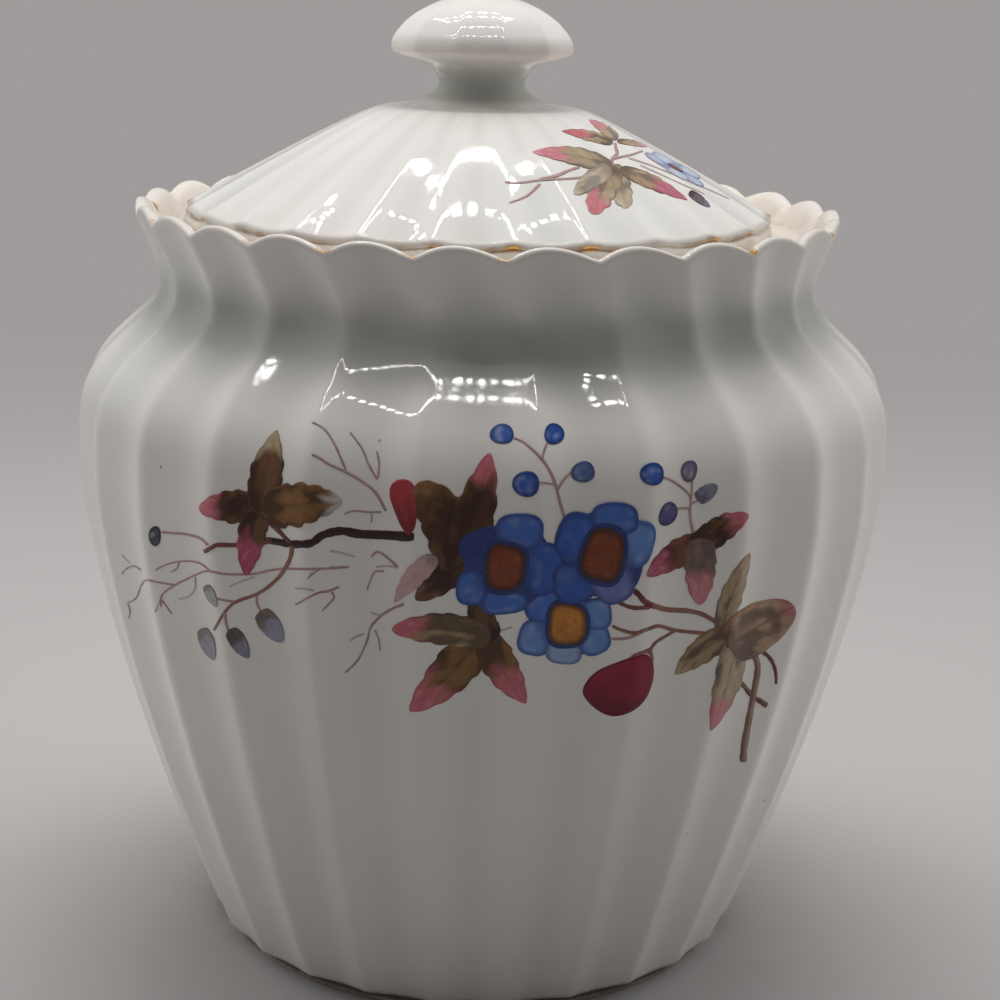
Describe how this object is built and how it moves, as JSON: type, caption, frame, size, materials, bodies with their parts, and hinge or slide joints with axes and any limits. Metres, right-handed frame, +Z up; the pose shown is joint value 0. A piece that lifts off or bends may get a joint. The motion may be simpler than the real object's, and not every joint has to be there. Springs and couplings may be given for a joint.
{
  "type": "lidded porcelain jar",
  "caption": "Round porcelain jar with a fluted body, a flaring scalloped collar and a domed lid that lifts off by its mushroom knob; painted with a spray of flowers.",
  "frame": {"origin": "the middle of the foot, on the surface that the jar stands on", "axes": "+Z up along the jar's axis; -Y is the painted front"},
  "size_m": [0.15, 0.149, 0.1785],
  "materials": {
    "glazed_porcelain": "clear glossy glaze over a white body, a little grey where it lies thick",
    "bare_porcelain": "unglazed, ground flat and soiled with use",
    "worn_gilding": "thin fired gold, rubbed through to the glaze"
  },
  "bodies": {
    "jar": {"foot_ring": "bare_porcelain", "jar_floor": "glazed_porcelain", "jar_wall": "glazed_porcelain", "collar": "glazed_porcelain", "lid_seat": "glazed_porcelain"},
    "flange": {"lid_flange": "glazed_porcelain"},
    "lid": {"lid_dome": "glazed_porcelain", "knob_stem": "glazed_porcelain", "knob_cap": "glazed_porcelain", "knob_button": "worn_gilding"}
  },
  "joints": [
    {"name": "lid_lift", "type": "slide", "parent": "jar", "child": "flange", "axis": [0, 0, 1], "range_m": [0, 0.07]},
    {"name": "lid_turn", "type": "hinge", "parent": "flange", "child": "lid", "pos_m": [-0.0018, 0, 0.1355], "axis": [0, 0, 1], "continuous": true}
  ]
}
